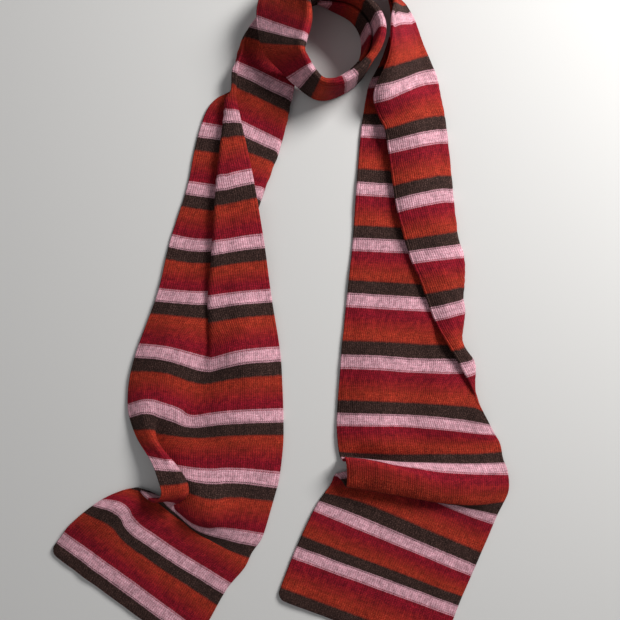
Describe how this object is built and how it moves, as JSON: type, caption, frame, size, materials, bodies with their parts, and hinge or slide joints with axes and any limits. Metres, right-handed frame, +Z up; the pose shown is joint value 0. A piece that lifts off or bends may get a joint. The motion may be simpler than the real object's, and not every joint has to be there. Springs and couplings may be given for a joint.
{
  "type": "striped knitted scarf",
  "caption": "Long knitted wool scarf in pink, crimson, orange and brown cross stripes, wrapped once into a neck loop with two tails laid flat.",
  "frame": {"origin": "centre of the scarf's outline as it lies, on the surface that it lies on", "axes": "+Z up from the surface, +Y from the two ends towards the neck loop, +X towards the tail that lies outside the loop"},
  "size_m": [0.4414, 0.6844, 0.0611],
  "materials": {
    "pink_yarn": "marled pale pink fine-gauge wool knit",
    "crimson_yarn": "crimson fine-gauge wool knit",
    "orange_yarn": "burnt orange fine-gauge wool knit",
    "brown_yarn": "heathered dark brown fine-gauge wool knit"
  },
  "bodies": {
    "root": {"left_end_band": "brown_yarn", "left_end_pink_stripes": "pink_yarn", "left_end_crimson_stripes": "crimson_yarn", "left_end_orange_stripes": "orange_yarn", "left_end_brown_stripes": "brown_yarn", "left_tail_pink_stripes": "pink_yarn", "left_tail_crimson_stripes": "crimson_yarn", "left_tail_orange_stripes": "orange_yarn", "left_tail_brown_stripes": "brown_yarn", "under_wrap_pink_stripes": "pink_yarn", "under_wrap_crimson_stripes": "crimson_yarn", "under_wrap_orange_stripes": "orange_yarn", "under_wrap_brown_stripes": "brown_yarn", "front_wrap_pink_stripes": "pink_yarn", "front_wrap_crimson_stripes": "crimson_yarn", "front_wrap_orange_stripes": "orange_yarn", "front_wrap_brown_stripes": "brown_yarn", "over_wrap_pink_stripes": "pink_yarn", "over_wrap_crimson_stripes": "crimson_yarn", "over_wrap_orange_stripes": "orange_yarn", "over_wrap_brown_stripes": "brown_yarn", "right_tail_pink_stripes": "pink_yarn", "right_tail_crimson_stripes": "crimson_yarn", "right_tail_orange_stripes": "orange_yarn", "right_tail_brown_stripes": "brown_yarn", "right_end_pink_stripes": "pink_yarn", "right_end_crimson_stripes": "crimson_yarn", "right_end_orange_stripes": "orange_yarn", "right_end_brown_stripes": "brown_yarn", "right_end_band": "brown_yarn"}
  },
  "joints": []
}
